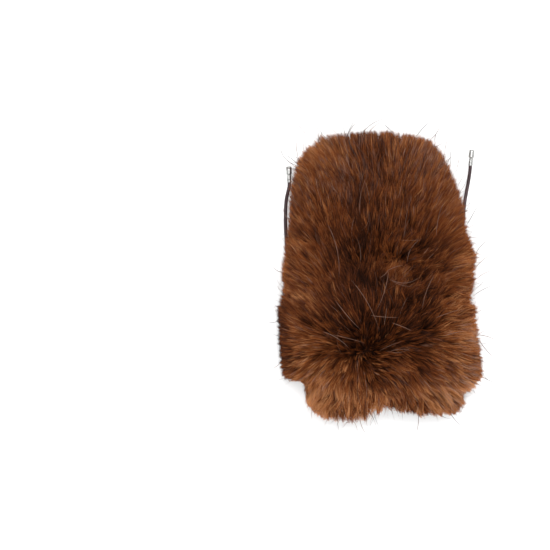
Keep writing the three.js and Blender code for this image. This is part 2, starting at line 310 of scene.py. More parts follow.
# A strand's four points: where they are along it, how much a tuft draws them in, and how much they take of
# its bow and its curl
strandSteps, pullSteps = np.array([0, 0.34, 0.68, 1.0]), np.array([0, 0.3, 0.66, 1.0])
bowSteps = ((0, 0), (0.5, 0), (1, 0.4), (1, 1.5))
# A strand's blade: its twist, its width at three of the points, how much paler one edge is than the other,
# how round it looks, and how much its shading takes from the hide under it
blade = {"twist": 0.55, "taper": (0.7, 1.0, 0.75), "paler": 0.006, "round": 0.6, "asHide": 0.25}
combReach = {"cuff": 12, "others": 16}  # how far a combing arrow reaches
# How unlike its neighbours a coarse tuft, a lock, a fine tuft and a single strand is in tone, and how much of
# that is gone on the calm back of the hand
toneVaries = {"coarse": 0.05, "lock": 0.05, "fine": 0.14, "strand": 0.16}
calmer = {"coarse": 0.6, "lock": 0.5, "fine": 0.15}
# the base tone, and how much paler the sides and both ends are made, partly the hair's own colour and partly
# painted light at the outline; and how much more uneven the lower edge is
toneBase = {"dark": 0.42, "side": 0.16, "ends": 0.16, "unevenEdge": 0.7}
greyShare = {"all": 0.02, "tips": 0.1, "edge": 0.05, "varies": 0.1}
# Where a look sets in: from how many mm off the middle, and over how many it grows
zones = {"hanging": (84, 16), "longTips": (92, 16), "calm": (20, 25), "uneven": (92, 12), "low": (0, 40),
         "greyTips": (40, 30), "greyEdge": (70, 20), "paleSidesAndPaintedLight": (46, 40), "paleTipsAndPaintedLight": (96, 40),
         "paleEdgeAndPaintedLight": (100, 30)}
# How the hair is trimmed to its outline: the outline's small teeth, and how far tufts and strands miss it
trim = {"tuft": (-0.4, 1.0), "strand": 0.8, "count": 900, "apart": (0.9, 2.7), "deep": (0.2, 2.3),
        "smooth": 0.6, "smoothAbove": 108, "smoothLeft": -86, "rounds": 20, "shorter": 0.9,
        "edge": (-10, 10)}

handHide = [(-24, -80, 73, 2, 54), (8, -77, 75, 2, 49), (34, -74, 72, 2, 48), (62, -71, 66, 3, 47),
            (84, -67, 57, 4, 44), (100, -60, 50, 6, 40), (112, -50, 42, 8, 36), (119, -38, 30, 12, 30)]
cuffHide = [(-104, -66, 72, 3, 62), (-96, -75, 78, 3, 65), (-86, -80, 82, 3, 67), (-68, -82, 80, 2, 67),
            (-42, -82, 77, 2, 62), (-22, -80, 73, 2, 56), (2, -76, 69, 4, 49)]
# The plan of the hair's outline, where its tips end
handPlan = [(-58, 137), (-32, 139), (-12, 140.5), (15, 140.5), (35, 137), (50, 131), (62, 118.5),
            (68.5, 102), (75.4, 83), (80.6, 67), (81.4, 57), (82.7, 44), (86, 37.5), (89, 31), (91.7, 21),
            (90.5, 0), (89, -14), (85, -23), (66, -50), (-76, -40), (-93, -10), (-92, -4), (-95, 2),
            (-93.5, 15), (-91, 27), (-90.5, 39), (-87.5, 54), (-87, 70), (-86.8, 85), (-85.2, 97),
            (-82.2, 106), (-79, 113), (-71, 124), (-63, 130)]
cuffPlan = [(-93, -10), (-98, -28), (-97, -52), (-94, -92), (-90, -95.5), (-71, -96.5), (-69, -106),
            (-68, -121), (-62, -129), (-48, -136), (-27, -138), (-11, -137), (-3, -131), (6, -123),
            (17, -128), (45, -132), (64, -130), (73, -128), (80, -120.5), (76, -111), (85, -107),
            (91, -103), (95, -95), (98, -89), (95, -69), (93, -48), (91, -39), (90.5, -27), (85, -24),
            (71, -11), (47, 18), (14, 30), (-28, 18), (-66, -2)]
handHeight = [(-30, 68), (34, 63), (66, 61), (94, 57), (112, 51), (127, 44), (140, 34)]
cuffHeight = [(-137, 52), (-117, 66), (-106, 76), (-90, 82), (-68, 82), (-42, 78), (-22, 72), (20, 64)]
rounding = {"reach": 16, "cuffShrinks": 0.16}  # the hide closes over this length at its free end
hidePowers = (4.0, 2.3)  # how square its sections are below and above their widest points

# Where the hair points, seen from above: a place and a direction
handCombing = [(-71, 122, -0.7, 0.7), (-60, 108, -0.75, 0.6), (-48, 92, -0.5, 0.85), (-78, 74, -0.42, 0.9),
               (-58, 66, -0.16, 1), (58, 88, 0.2, 1), (50, 70, 0.18, 1), (54, 54, 0.32, 0.95),
               (-14, 112, -0.1, 1), (47, 107, 0.3, 0.95), (71, 60, 0.42, 0.9), (71, 42, 0.6, 0.8),
               (84, 32, 0.95, 0.35), (-14, 55, 0.05, 1), (30, 60, 0.12, 1), (-76, 17, -0.6, 0.8),
               (-56, 40, -0.2, 1), (78, 6, 1.0, 0.12), (30, 30, 0.3, 0.95), (20, 12, 0.3, 0.55),
               (8, 2, 0.1, 0.45), (34, -6, 0.5, 0.25), (56, 14, 0.75, 0.65), (-30, 10, -0.1, 1),
               (-60, -14, -0.8, 0.6), (60, -20, 1, 0.1)]
cuffCombing = [(-80, -14, -0.8, 0.6), (-90, -39, -1, 0.05), (-90, -68, -1, 0), (-80, -86, -1, -0.1),
               (-70, -39, -0.6, 0.75), (-70, -58, -0.85, 0.4), (-51, -29, -0.5, 0.85),
               (-45, -49, -0.6, 0.75), (-26, -39, -0.25, 0.95), (-32, -62, -0.8, 0.3),
               (-53, -70, -1, 0.05), (-72, -79, -1, -0.05), (-57, -79, -0.1, -1), (-60, -91, 0, -1),
               (-45, -79, 0, -1), (-32, -80, 0.05, -0.9), (-16, -84, 0.25, -0.95), (-53, -110, 0, -1),
               (-22, -112, 0.12, -1), (-2, -103, 0.4, -0.9), (0, -68, 0.9, -0.1), (15, -82, 0.75, -0.65),
               (17, -103, 0.5, -0.85), (26, -62, 0.85, -0.1), (38, -88, 0.65, -0.75),
               (46, -116, 0.4, -0.9), (65, -116, 0.6, -0.8), (52, -68, 0.8, -0.5), (71, -95, 0.9, -0.4),
               (75, -78, 1, -0.2), (75, -54, 1, 0.08), (65, -35, 1, 0.2), (81, -27, 0.95, 0.15),
               (46, -29, 0.3, 0.6), (26, -35, 0.2, 0.7), (11, -39, 0.1, 0.9), (-4, -49, 0, 0.7),
               (-16, -61, -0.3, 0.3)]
rimCombing = [(-60, -104, -0.2, -1), (-30, -106, -0.05, -1), (-10, -106, 0.06, -1), (4, -106, -0.04, -1),
              (16, -106, 0.12, -1), (50, -106, 0.15, -1), (76, -104, 0.6, -0.8)]
# Tousled places: place, size across and along, and how far tufts there turn from the combing
tousled = [(14, 4, 22, 22, 1.1), (40, -32, 24, 24, 0.9), (-16, -64, 16, 16, 0.5), (-20, 6, 18, 18, 0.4),
           (-40, -104, 30, 30, 0.25), (10, -100, 30, 30, 0.2)]

# Patches of darker and lighter hair: place, size across and along, and how much lighter. They are partly the
# hair's own colour and partly painted shade and light: the dark parting near the wrist and the dark band down
# the cuff's left edge are painted shadow
toneAndPaintedLightPatches = [(-18, 62, 13, 42, -0.18), (8, 40, 18, 40, -0.12), (-18, -2, 16, 13, -0.2),
           (44, -26, 11, 22, -0.3), (-14, -44, 26, 20, -0.22), (8, -56, 30, 14, -0.14),
           (-20, -71, 20, 8, 0.1), (18, 10, 10, 8, 0.12), (-66, -52, 12, 30, 0.16),
           (-94, -60, 9, 42, -0.6), (-70, -34, 16, 20, -0.08), (-46, -112, 24, 22, 0.36),
           (84, -104, 14, 10, 0.2), (78, -58, 16, 22, 0.2), (44, -112, 28, 18, 0.2),
           (-60, 112, 24, 22, 0.08), (48, 118, 26, 22, 0.08), (-66, 40, 20, 60, -0.04),
           (-4, -118, 8, 14, -0.12), (93, -74, 7, 22, -0.14), (-40, -20, 18, 20, -0.16),
           (74, 40, 14, 40, 0.02), (56, 8, 7, 6, -0.18), (26, -20, 9, 8, -0.12), (-30, 25, 26, 26, -0.17),
           (0, -6, 12, 10, -0.16), (42, 34, 22, 24, -0.14), (20, -32, 16, 14, -0.18),
           (-58, -45, 14, 14, -0.13), (46, -52, 12, 10, -0.15), (43, -84, 10, 12, -0.12),
           (-74, -95, 12, 6, 0.2), (26, -120, 13, 10, -0.26), (76, -106, 14, 12, 0.2),
           (-44, -120, 16, 10, -0.12), (3, -117, 6, 8, 0.12), (-66, -108, 6, 10, 0.2),
           (-8, -8, 12, 12, -0.14), (-17, 1, 7, 5, -0.15), (4, -26, 8, 8, -0.18), (32, 4, 10, 10, -0.14),
           (52, 24, 12, 10, -0.08), (56, -12, 8, 8, -0.15), (-37, -66, 9, 7, -0.18),
           (-26, -79, 10, 6, -0.14), (-37, -120, 9, 9, -0.2), (-8, -119, 9, 9, 0.32),
           (-50, 121, 14, 12, 0.14), (58, -105, 8, 8, 0.15), (0, 110, 5, 22, -0.2), (-12, 86, 7, 14, 0.1),
           (5, 15, 7, 15, 0.22), (-28, 26, 14, 14, -0.16), (34, 2, 9, 9, -0.15), (-66, -38, 9, 20, -0.12),
           (22, -40, 10, 7, -0.15), (-32, -68, 12, 12, -0.1), (3, -79, 8, 5, -0.2),
           (-10, -92, 6, 6, -0.12), (85, -94, 10, 8, 0.2), (66, -108, 16, 10, 0.1),
           (-50, -92, 10, 7, 0.12), (70, -118, 9, 7, -0.12), (-8, 124, 30, 14, -0.08),
           (-30, -30, 16, 16, -0.08)]

# Places where more hair is greyish: place, size across and along, and how much more
greyer = [(-37, 92, 12, 16, 0.4), (90, -60, 10, 22, 0.4), (-30, 132, 30, 8, 0.4), (40, 110, 20, 20, 0.4),
          (76, -104, 22, 20, 0.4), (-12, 98, 10, 18, 0.4)]


def spotted(spots, x, y):
    # the soft spots of a table, added up
    total = np.zeros_like(x)
    for px, py, wide, high, amount in spots:
        total += amount * np.exp(-((x - px) / wide) ** 2 - ((y - py) / high) ** 2)
    return total


def fade(value, start, reach):
    # 0 up to the start, then growing to 1
    return np.clip((value - start) / reach, 0, 1)


def varied(rng, count, deviation, least, most):
    return rng.normal(1, deviation, count).clip(least, most)


def each(rng, owner, deviation, middle=0.0):
    # one random number for each tuft, handed to all its strands
    return rng.normal(middle, deviation, owner.max() + 1)[owner]


def hidePoint(table, along, angle, towardsTip):
    # along counts mm from the hide's open end, round its rounded far end too
    ends = [row[0] for row in table]
    start, stop = (min(ends), max(ends)) if towardsTip else (max(ends), min(ends))
    way = 1 if towardsTip else -1
    straight = abs(stop - start) - rounding["reach"]
    turn = np.clip((along - straight) / rounding["reach"], 0, math.pi / 2)
    y = start + way * (np.minimum(along, straight) + rounding["reach"] * np.sin(turn))
    left, right, under, top = rowAt(table, y)
    shrink = np.cos(turn) if towardsTip else 1 - rounding["cuffShrinks"] * (1 - np.cos(turn))
    middle, half = (left + right) / 2, (right - left) / 2 * shrink
    waist = under + (top - under) * waistShare
    x, z = onSection(middle - half, middle + half, waist - (waist - under) * shrink,
                     waist + (top - waist) * shrink, angle, *hidePowers)
    return np.stack([x, y, z], -1)


def hideLength(table):
    ends = [row[0] for row in table]
    return max(ends) - min(ends) + rounding["reach"] * (math.pi / 2 - 1)


def hideFrame(table, along, angle, towardsTip):
    # places on the hide, the way out of it there, and how much of it is near them
    def at(s, a):
        return hidePoint(table, s, a, towardsTip)

    step, turn = 0.6, 0.02
    lengthwise = at(along + step, angle) - at(along - step, angle)
    around = at(along, angle + turn) - at(along, angle - turn)
    normal = np.cross(around, lengthwise)
    area = np.linalg.norm(normal, axis=-1)
    outward = np.stack([np.cos(angle), np.zeros_like(angle), np.sin(angle)], -1)
    facing = np.where((normal * outward).sum(-1) < 0, -1, 1)[:, None]
    return at(along, angle), unit(normal) * facing, area


def scatter(table, count, span, towardsTip, rng, rim):
    # evenly over the whole hide, or within a rim's depth of its free end
    many = count * 3  # places to choose from
    along = hideLength(table) - rng.uniform(0, rim or hideLength(table), many)
    angle = rng.uniform(*span, many)
    here, out, area = hideFrame(table, along, angle, towardsTip)
    kept = rng.choice(many, count, replace=False, p=area / area.sum())
    return here[kept], out[kept]


def outsideBy(plan, points):
    # distance of each point from the plan's outline, positive outside it, and its place along the outline
    x, y = points[:, 0], points[:, 1]
    corners = np.array(plan, float)
    nearest, place, passed = np.full(len(x), 1e9), np.zeros(len(x)), 0
    inside = np.zeros(len(x), bool)
    for (ax, ay), (bx, by) in zip(corners, np.roll(corners, -1, 0)):
        ux, uy = bx - ax, by - ay
        t = np.clip(((x - ax) * ux + (y - ay) * uy) / (ux * ux + uy * uy), 0, 1)
        away = np.hypot(x - ax - t * ux, y - ay - t * uy)
        place = np.where(away < nearest, passed + t * math.hypot(ux, uy), place)
        nearest = np.minimum(nearest, away)
        passed += math.hypot(ux, uy)
        crossing = ((ay > y) != (by > y)) & (x < ux * (y - ay) / (uy + 1e-9) + ax)
        inside ^= crossing
    return np.where(inside, -nearest, nearest), place


def combed(table, x, y):
    reach = combReach["cuff" if table is cuffCombing else "others"]
    fx, fy, total = np.zeros_like(x), np.zeros_like(x), np.zeros_like(x)
    for px, py, dx, dy in table:
        weight = np.exp(-((x - px) ** 2 + (y - py) ** 2) / (2 * reach ** 2)) + 1e-5
        fx += weight * dx
        fy += weight * dy
        total += weight
    return fx / total, fy / total


def shadeOf(x, y):
    # 0 is the darkest, purplish hair and 1 the palest orange-brown. Hair at the sides, the fingertips and the
    # lower edge is made paler, partly its own colour and partly painted light where light shines through the
    # outline, and the patch table adds painted shade and light
    side = fade(np.abs(x + 2), *zones["paleSidesAndPaintedLight"])
    ends = fade(y, *zones["paleTipsAndPaintedLight"]) + fade(-y, *zones["paleEdgeAndPaintedLight"])
    return toneBase["dark"] + toneBase["side"] * side + toneBase["ends"] * ends + spotted(toneAndPaintedLightPatches, x, y)


def strandCurves(root, out, flow, length, liftRoot, liftTip):
    # four points a strand: it rises from the hide, then lies over the way it is combed
    level = np.stack(flow, -1)
    level = unit(level - out * (level * out).sum(-1, keepdims=True) * fur["followHide"])
    loose = np.clip(1 - np.hypot(*flow[:2]), 0, 0.8)  # short combing arrows let the hair stand up
    liftRoot, liftTip = liftRoot + loose * fur["standing"][0], liftTip + loose * fur["standing"][1]
    first = unit(level * np.cos(liftRoot)[:, None] + out * np.sin(liftRoot)[:, None])
    last = unit(level * np.cos(liftTip)[:, None] + out * np.sin(liftTip)[:, None])
    middle = root + first * length[:, None] * fur["bend"]
    end = middle + last * length[:, None] * (1 - fur["bend"])
    return bent(root, middle, end, strandSteps)


def bent(start, middle, end, steps):
    # points along a curve that leaves its start towards the middle and bends to its end
    t = steps[None, :, None]
    return start[:, None] * (1 - t) ** 2 + 2 * middle[:, None] * t * (1 - t) + end[:, None] * t ** 2


def gather(points, spacing, pull, rng):
    # draws each strand to the nearest tuft's own, more and more to the tip
    root = points[:, 0]
    chosen = rng.permutation(len(root))
    cell = np.floor(root[chosen] / spacing).astype(int)
    leads = chosen[np.unique(cell, axis=0, return_index=True)[1]]
    tree = kdtree.KDTree(len(leads))
    for i, lead in enumerate(leads):
        tree.insert(root[lead], i)
    tree.balance()
    owner = np.array([tree.find(place)[1] for place in root])
    led = points[leads[owner]]
    share = pullSteps[None, :, None] * np.reshape(pull, (-1, 1, 1))
    return points * (1 - share) + led * share, owner


def trimmed(points, plan, heights, owner, rng):
    # shortens what passes the outline or the height of the hair
    middle, deviation = trim["tuft"]
    overshoot = each(rng, owner, deviation, middle) + rng.normal(0, trim["strand"], len(points))
    teeth = np.random.default_rng(fur["seed"])
    spots = np.cumsum(teeth.uniform(*trim["apart"], trim["count"]))
    depths = np.resize([1, -1], trim["count"]) * teeth.uniform(*trim["deep"], trim["count"])
    root = points[:, :1]
    for _ in range(trim["rounds"]):
        tip = points[:, 3]
        high = np.interp(tip[:, 1], *zip(*heights))
        gap, place = outsideBy(plan, tip)
        smooth = (tip[:, 1] > trim["smoothAbove"]) | (tip[:, 0] < trim["smoothLeft"])
        tooth = np.interp(place, spots, depths) * np.where(smooth, trim["smooth"], 1)
        over = gap > overshoot + tooth
        over |= outsideBy(plan, points[:, 2])[0] > overshoot
        over |= tip[:, 2] > high + overshoot * 2
        if not over.any():
            break
        points[over] = root[over] + (points[over] - root[over]) * trim["shorter"]
    return points


def bowed(points, owner, amount, rng):
    # every tuft bends and curls its own way, seen from above
    way = points[:, 3] - points[:, 0]
    side = unit(np.stack([-way[:, 1], way[:, 0], np.zeros(len(way))], -1))
    bow, curl = (each(rng, owner, 1) * amount for _ in range(2))
    for k, (bowShare, curlShare) in enumerate(bowSteps):
        points[:, k] += side * (bow * bowShare + curl * curlShare)[:, None]
    return points


def settled(points, rng):
    # hair that would pass the ground lies on it
    z = points[..., 2]
    lying = fur["ground"] + fur["groundVaries"] * np.abs(rng.normal(0, 1, z.shape))
    points[..., 2] = np.where(z < lying, lying, z)
    return points


def bladeCorners(middle, half):
    # two on either side of each of the first three points, and one at the tip
    corners = np.empty((len(middle), 7, 3))
    corners[:, 0:6:2] = middle[:, :3] - half
    corners[:, 1:6:2] = middle[:, :3] + half
    corners[:, 6] = middle[:, 3]
    return corners


def strandMesh(name, points, out, width, shade, cool, material, rng):
    # a tapered blade for each strand, facing out with a little twist
    count = len(points)
    tangent = unit(np.gradient(points, axis=1))
    twist = rng.normal(0, blade["twist"], count)[:, None, None]
    flat = unit(np.cross(tangent, np.repeat(out[:, None], 4, 1)))
    facing = unit(np.cross(flat, tangent))
    side = flat * np.cos(twist) + facing * np.sin(twist)
    facing = unit(np.cross(side, tangent))
    taper = np.array(blade["taper"])[None, :, None]
    verts = bladeCorners(points, side[:, :3] * taper * width[:, None, None] / 2)
    pattern = np.array([0, 1, 3, 2, 2, 3, 5, 4, 4, 5, 6])
    loops = (np.arange(count)[:, None] * 7 + pattern).ravel()
    sizes = np.tile([4, 4, 3], count)
    mesh = bpy.data.meshes.new(name)
    mesh.vertices.add(count * 7)
    mesh.vertices.foreach_set("co", (verts * mm + shift).astype(np.float32).ravel())
    mesh.loops.add(len(loops))
    mesh.loops.foreach_set("vertex_index", loops.astype(np.int32))
    mesh.polygons.add(len(sizes))
    mesh.polygons.foreach_set("loop_start", (np.cumsum(sizes) - sizes).astype(np.int32))
    mesh.update(calc_edges=True)
    # the map: tone across it, warm hair in its left half and greyish in its right, and root to tip along it
    spread = np.array([-1, 1, -1, 1, -1, 1, 0]) * blade["paler"]
    u = np.clip(shade[:, None] + spread, 0.004, 0.996) * 0.5 + np.where(cool, 0.5, 0)[:, None]
    v = np.broadcast_to(np.array([0.01, 0.01, 0.34, 0.34, 0.67, 0.67, 0.99]), u.shape)
    corners = np.stack([u, v], -1)[:, pattern].reshape(-1, 2)
    mesh.uv_layers.new(name="OFBake").uv.foreach_set("vector", corners.astype(np.float32).ravel())
    own = bladeCorners(facing, side[:, :3] * blade["round"])
    normals = unit(np.repeat(out[:, None], 7, 1) * blade["asHide"] + own * (1 - blade["asHide"]))
    mesh.shade_smooth()
    mesh.normals_split_custom_set_from_vertices(normals.reshape(-1, 3).astype(np.float32))
    return newPiece(name, mesh, material)


# The roots' near-black is partly the hair's own dark base and partly painted shade deep in the fur; the paler
# tips are partly the hair's own colour and partly painted light shining through them
hairColours = {
    "roots": [(0.0, (0.003, 0.0015, 0.001)), (0.3, (0.010, 0.0025, 0.001)), (0.65, (0.030, 0.006, 0.0015)),
              (1.0, (0.085, 0.018, 0.004))],
    "tips": [(0.0, (0.019, 0.006, 0.003)), (0.2, (0.064, 0.018, 0.006)), (0.42, (0.165, 0.041, 0.011)),
             (0.68, (0.35, 0.105, 0.028)), (1.0, (0.66, 0.30, 0.125))],
    "greyTips": [(0.0, (0.016, 0.007, 0.006)), (0.2, (0.055, 0.024, 0.018)), (0.42, (0.135, 0.056, 0.037)),
                 (0.68, (0.29, 0.135, 0.088)), (1.0, (0.52, 0.31, 0.22))],
    "palingAndPaintedLight": [(0.15, 0.0), (0.6, 0.42), (0.98, 1.0)],  # from the roots' colour to the tips'
}


def hairChart(tree):
    # the hair's map: its tone and its place from root to tip
    chart = tree.nodes.new("ShaderNodeUVMap")
    chart.uv_map = "OFBake"
    parts = tree.nodes.new("ShaderNodeSeparateXYZ")
    tree.links.new(chart.outputs[0], parts.inputs[0])
    return parts.outputs["X"], parts.outputs["Y"]


def furMaterial():
    made, tree, shader = newMaterial("longFur", sheen=0.05)
    tone, rise = hairChart(tree)
    ends = []
    for warm, grey in (("roots", "roots"), ("tips", "greyTips")):
        stops = [(at * 0.499, colour) for at, colour in hairColours[warm]]
        stops += [(0.501 + at * 0.499, colour) for at, colour in hairColours[grey]]
        ends.append(ramp(tree, stops, tone))
    palingAndPaintedLight = ramp(tree, [(at, (share,) * 3) for at, share in hairColours["palingAndPaintedLight"]], rise)
    tree.links.new(mixColour(tree, palingAndPaintedLight, *ends), shader.inputs["Base Color"])
    return made


furLook = furMaterial()


def tones(root, points, coarse, locks, fine, rng):
    # every strand's place between dark and pale, and whether it is greyish
    count = len(root)
    seenX, seenY = (root * (1 - fur["seenAt"]) + points[:, 3] * fur["seenAt"])[:, :2].T
    calm = fade(root[:, 1], *zones["calm"])
    uneven = 1 + toneBase["unevenEdge"] * fade(-root[:, 1], *zones["uneven"])

    def unlike(kind, owner):
        return each(rng, owner, toneVaries[kind]) * (uneven - calmer[kind] * calm)

    shade = shadeOf(seenX, seenY)
    shade += unlike("coarse", coarse)
    shade += unlike("lock", locks)
    share = greyShare["all"] + greyShare["tips"] * fade(seenY, *zones["greyTips"])
    share += greyShare["edge"] * fade(-seenY, *zones["greyEdge"]) + spotted(greyer, seenX, seenY)
    cool = rng.random(fine.max() + 1)[fine] + rng.normal(0, greyShare["varies"], count) < share
    shade += unlike("fine", fine)
    return (shade + rng.normal(0, toneVaries["strand"], count)).clip(0.01, 0.99), cool


def growFur(names, table, span, towardsTip, combing, plan, heights, count, seed, rim=None):
    rng = np.random.default_rng(seed)
    root, out = scatter(table, count, span, towardsTip, rng, rim)
    x, y, z = root.T
    hanging, calm = fade(-y, *zones["hanging"]), fade(y, *zones["calm"])
    fx, fy = combed(combing, x, y)
    turning = fur["wander"] + spotted(tousled, x, y)
    cell = np.unique(np.floor(root / fur["coarseTuft"]).astype(int), axis=0, return_inverse=True)[1].ravel()
    stray = each(rng, cell, 1) * turning + rng.normal(0, fur["strandWander"], count)
    fx, fy = fx * np.cos(stray) - fy * np.sin(stray), fx * np.sin(stray) + fy * np.cos(stray)
    # the lower edge's hair hangs furthest, and the fingertips' is long too
    longer = 1 + fur["longerHanging"] * hanging + fur["longerTips"] * fade(y, *zones["longTips"])
    length = fur["length"] * longer * varied(rng, count, *fur["lengthVaries"])
    liftRoot, liftTip = (rng.normal(rise, much, count) for rise, much in zip(fur["rise"], fur["riseVaries"]))
    middle, deviation = fur["drop"]
    drop = each(rng, cell, deviation, middle) - fur["dropLow"] * (1 - fade(z, *zones["low"]))
    points = strandCurves(root, out, (fx, fy, drop), length, liftRoot, liftTip)
    # three sizes of tuft, looser on the calm back of the hand, firmer where it hangs and along the outline
    points, coarse = gather(points, fur["coarseTuft"], fur["coarsePull"] - fur["calmPull"] * calm, rng)
    points, locks = gather(points, fur["lock"], fur["lockPull"] + fur["hangingPull"] * hanging, rng)
    points = bowed(points, locks, fur["bow"] + fur["hangingBow"] * hanging, rng)
    atEdge = fade(outsideBy(plan, points[:, 3])[0], *trim["edge"])
    points, fine = gather(points, fur["fineTuft"], fur["finePull"] + fur["edgePull"] * atEdge, rng)
    points = settled(trimmed(points, plan, heights, fine, rng), rng)
    shade, cool = tones(root, points, coarse, locks, fine, rng)
    width = fur["width"] * varied(rng, count, *fur["widthVaries"])
    for name, part in zip(names, np.array_split(np.argsort(x), len(names))):
        strandMesh(name, points[part], out[part], width[part], shade[part], cool[part], furLook, rng)


growFur(["hand_hair_left", "hand_hair_right"], handHide, fur["handSpan"], True, handCombing,
        handPlan, handHeight, fur["handStrands"], fur["seed"])
print("stage: hand hair")
growFur(["cuff_hair_left", "cuff_hair_right"], cuffHide, fur["cuffSpan"], False, cuffCombing,
        cuffPlan, cuffHeight, fur["cuffStrands"], fur["seed"] + 1)
growFur(["cuff_rim_hair"], cuffHide, fur["rimSpan"], False, rimCombing, cuffPlan, cuffHeight,
        fur["rimStrands"], fur["seed"] + 2, rim=fur["rimDepth"])
print("stage: cuff hair")


# Long guard hairs. Each row: where it leaves the fur and where it ends, seen from above, their two heights,
# its bow to the left, and its tone from dark to pale
guard = {
    "thick": 0.3,
    "thin": 0.2,
    "spans": 6,
    "taper": ([0, 0.2, 0.5, 1], [0.4, 1, 1, 0.55]),
    "dark": (0.03, 0.017, 0.014),
    "middle": (0.125, 0.052, 0.032),
    "pale": (0.3, 0.175, 0.13),
    "loose": 130,  # more of them round the edge
    "onHand": 0.45,
    "handMiddle": (0, 30),
    "cuffMiddle": (0, -60),
    "turn": 0.45,
    "inside": 7,
    "past": (2, 12),
    "lying": 120,  # and lying in the fur
    "lyingTurn": 0.3,
    "lyingReach": (18, 38),
    "halfWide": 92,
}
guardRows = [(-31, 134, -18, 151, 34, 50, 2, 0.5), (-32, 132, -24, 150, 34, 46, 1, 0.1),
             (-18, 136, 10, 151, 34, 52, 4, 0.5), (-12, 136, 3, 148, 34, 44, 2, 0.8),
             (4, 145, 12, 137, 38, 42, 0, 0.0), (34, 134, 50, 151, 34, 52, 1, 0.1),
             (47, 131, 57, 147, 32, 42, -2, 0.6), (52, 128, 56, 141, 32, 40, 2, 0.3),
             (-78, 106, -93, 134, 26, 44, 8, 0.2), (-77, 107, -96, 120, 26, 36, -1, 0.1),
             (-69, 136, -82, 151, 26, 40, 1, 0.6), (82, 50, 93.5, 71, 24, 40, 0, 0.0),
             (-21, 110, -37, 146, 57, 48, 1, 0.0), (66, 106, 64, 128, 44, 42, -1, 0.1),
             (72, 84, 83, 102, 40, 42, 1, 0.6), (-20, -130, -12, -149, 60, 50, -2, 0.8),
             (-78, 116, -79, 132, 24, 34, 1, 0.7), (90, 22, 106, 39, 26, 42, 2, 0.5),
             (89, 8, 114, 26, 30, 52, 3, 0.9), (88, -17, 114, -5, 30, 50, 2, 0.2),
             (92, 0, 112, 8, 30, 40, 2, 0.9), (93, -58, 114, -80, 34, 50, -2, 0.5),
             (93, -54, 113, -62, 34, 40, 2, 0.8), (94, -93, 112, -103, 34, 40, 1, 0.3),
             (65, -126, 83, -144, 44, 38, -2, 0.2), (35, -126, 33, -148, 62, 56, 1, 0.5),
             (-30, -130, -22, -146, 62, 54, 2, 0.8), (-92, 5, -104, 14, 30, 36, 2, 0.5),
             (-94, -40, -108, -42, 30, 36, 1, 0.1), (-92, -78, -106, -88, 28, 30, 1, 0.6),
             (-50, 50, -40, -2, 68, 70, 4, 0.8), (-28, -2, -2, -49, 66, 78, 3, 0.85),
             (-43, -21, -19, -49, 70, 84, -1, 0.9), (-10, -35, 17, -37, 78, 82, -0.5, 0.8),
             (10, -42, 29, -50, 80, 84, 0.5, 0.9), (7, 7, -5, -31, 66, 74, 2, 0.8),
             (50, 3, 38, -30, 66, 76, -2, 0.8), (-46, -53, -15, -61, 82, 86, 0.5, 0.7),
             (58, -54, 82, -49, 80, 70, 0.5, 0.9), (51, -37, 76, -29, 78, 70, 0.5, 0.8),
             (-55, -50, -30, -66, 80, 84, 2, 0.9), (-20, 60, -12, 98, 66, 60, 3, 0.7),
             (22, 40, 30, 80, 66, 62, 2, 0.6), (6, 7, 21, 12, 66, 71, 1, 0.9),
             (7, 8, -2, 0, 66, 71, 1, 0.85), (10, -2, 38, 3, 68, 72, -5, 0.8),
             (8, -1, 30, -8, 68, 72, -2, 0.7), (52, 40, 60, 74, 60, 62, 2, 0.8)]


def guardMaterial():
    made, tree, shader = newMaterial("guardHair", sheen=0.2)
    tones = [(0.05, guard["dark"]), (0.5, guard["middle"]), (0.95, guard["pale"])]
    tree.links.new(ramp(tree, tones, hairChart(tree)[0]), shader.inputs["Base Color"])
    return made


def spikes(name, points, radius, tone, material):
    # closed three-sided spikes: a ring at every point but the last, which is the tip
    count, spans = points.shape[0], points.shape[1] - 1
    tangent = unit(np.gradient(points, axis=1))
    across = unit(np.cross(tangent, np.array([0.31, 0.17, 0.93])))
    over = np.cross(tangent, across)
    thin = (radius[:, None] * np.interp(np.linspace(0, 1, spans), *guard["taper"]))[..., None]
    rings = []
    for a in (2 * math.pi * k / 3 for k in range(3)):
        rings.append(points[:, :-1] + (across[:, :-1] * math.cos(a) + over[:, :-1] * math.sin(a)) * thin)
    per = spans * 3 + 1
    verts = np.empty((count, per, 3))
    verts[:, :-1] = np.stack(rings, 2).reshape(count, spans * 3, 3)
    verts[:, -1] = points[:, -1]
    faces = [(2, 1, 0)]
    for s in range(spans - 1):
        for k in range(3):
            a, b = s * 3 + k, s * 3 + (k + 1) % 3
            faces += [(a, b, b + 3), (a, b + 3, a + 3)]
    last = (spans - 1) * 3
    faces += [(last + k, last + (k + 1) % 3, per - 1) for k in range(3)]
    pattern = np.array(faces)
    every = (np.arange(count)[:, None, None] * per + pattern).reshape(-1, 3)
    mesh = bpy.data.meshes.new(name)
    mesh.from_pydata((verts.reshape(-1, 3) * mm + shift).tolist(), [], every.tolist())
    rise = np.append(np.repeat(np.linspace(0.01, 0.8, spans), 3), 0.99)
    u = (tone[:, None] + np.tile([-0.01, 0.0, 0.01], spans + 1)[:per]).clip(0.01, 0.99)
    chart = np.stack([u, np.broadcast_to(rise, u.shape)], -1)[:, pattern.ravel()].reshape(-1, 2)
    mesh.uv_layers.new(name="OFBake").uv.foreach_set("vector", chart.astype(np.float32).ravel())
    mesh.shade_smooth()
    return newPiece(name, mesh, material)


